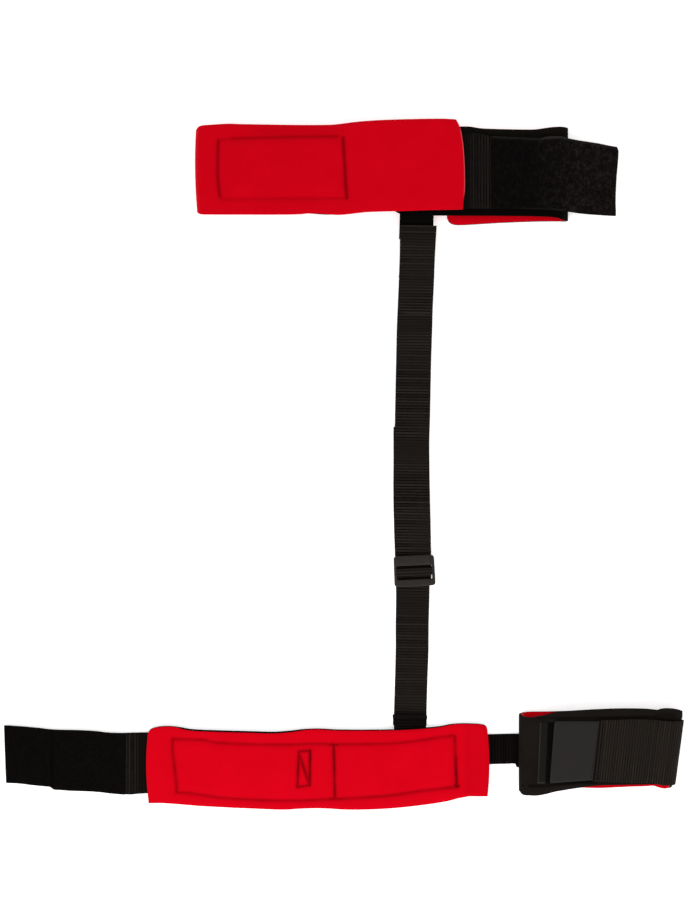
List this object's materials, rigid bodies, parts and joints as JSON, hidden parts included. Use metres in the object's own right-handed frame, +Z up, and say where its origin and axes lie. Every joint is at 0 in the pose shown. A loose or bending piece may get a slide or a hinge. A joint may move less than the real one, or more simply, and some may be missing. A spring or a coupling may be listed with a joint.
{
  "type": "neoprene exercise cuff strap",
  "caption": "Neoprene limb cuffs with hook-and-loop closures, joined by an adjustable webbing strap with a plastic slider, laid out flat.",
  "frame": {"origin": "centre of the bounding box of the laid-out strap, on the floor it lies on", "axes": "+Z up off the floor, +Y from the lower pad towards the upper cuff, +X from the lower pad towards the side cuff"},
  "size_m": [0.484, 0.4926, 0.0159],
  "materials": {
    "red_skin": "smooth knit laminated on foam",
    "black_outer": "matte knit laminated on foam",
    "webbing": "ribbed woven webbing",
    "elastic": "ribbed elastic",
    "hook_loop": "hook and loop fabric",
    "thread": "sewing thread",
    "buckle_plastic": "moulded satin"
  },
  "bodies": {
    "lower_pad": {"lower_web": "webbing", "lower_anchor_fold": "webbing", "pad_lining": "black_outer", "pad_skin": "red_skin", "pad_seam": "thread", "pad_tack": "thread", "pad_loop_patch": "hook_loop", "pad_anchor_patch": "hook_loop", "lower_closure_root": "elastic", "connector_root": "webbing"},
    "lower_closure": {"lower_closure_elastic": "elastic", "lower_closure_hook": "hook_loop", "lower_closure_tab": "hook_loop"},
    "side_cuff": {"connector_web": "webbing", "side_back_outer": "black_outer", "side_back_skin": "red_skin", "side_left_fold_skin": "red_skin", "side_left_fold_outer": "black_outer", "side_right_fold_skin": "red_skin", "side_right_fold_outer": "black_outer", "side_front_skin": "red_skin", "side_front_outer": "black_outer", "side_loop_patch": "hook_loop", "side_closure_wrap": "elastic", "side_closure_hem": "elastic"},
    "side_closure": {"side_closure_elastic": "elastic", "side_hook_tab": "hook_loop"},
    "upper_strap": {"upper_web": "webbing", "upper_web_stub": "webbing", "slider": "buckle_plastic", "slider_bight": "webbing", "upper_under_outer": "black_outer", "upper_under_skin": "red_skin", "upper_middle_skin": "red_skin", "upper_middle_outer": "black_outer", "upper_right_fold_skin": "red_skin", "upper_right_fold_outer": "black_outer", "upper_left_fold_outer": "black_outer", "upper_left_fold_skin": "red_skin"},
    "upper_front": {"upper_front_outer": "black_outer", "upper_front_skin": "red_skin", "upper_front_seam": "thread", "upper_loop_patch": "hook_loop", "upper_closure_root": "elastic"},
    "upper_closure": {"upper_closure_elastic": "elastic", "upper_closure_hook": "hook_loop", "upper_closure_overlay": "hook_loop"}
  },
  "joints": [
    {"name": "strap_adjust", "type": "slide", "parent": "lower_pad", "child": "upper_strap", "axis": [0.0157, 0.9999, 0], "range_m": [-0.085, 0.085]},
    {"name": "upper_flap_open", "type": "hinge", "parent": "upper_strap", "child": "upper_front", "pos_m": [-0.1016, 0.2106, 0.0153], "axis": [0, -1, 0], "range_deg": [0, 120]},
    {"name": "upper_closure_peel", "type": "hinge", "parent": "upper_front", "child": "upper_closure", "pos_m": [0.0864, 0.209, 0.0153], "axis": [0, -1, 0], "range_deg": [0, 90]},
    {"name": "lower_closure_fold", "type": "hinge", "parent": "lower_pad", "child": "lower_closure", "pos_m": [-0.1399, -0.213, 0.0056], "axis": [0, 1, 0], "range_deg": [0, 150]},
    {"name": "side_cuff_swing", "type": "hinge", "parent": "lower_pad", "child": "side_cuff", "pos_m": [0.1045, -0.2042, 0.0056], "axis": [0, -1, 0], "range_deg": [0, 120]},
    {"name": "side_closure_peel", "type": "hinge", "parent": "side_cuff", "child": "side_closure", "pos_m": [0.2333, -0.2063, 0.0162], "axis": [0, 1, 0], "range_deg": [0, 150]}
  ]
}
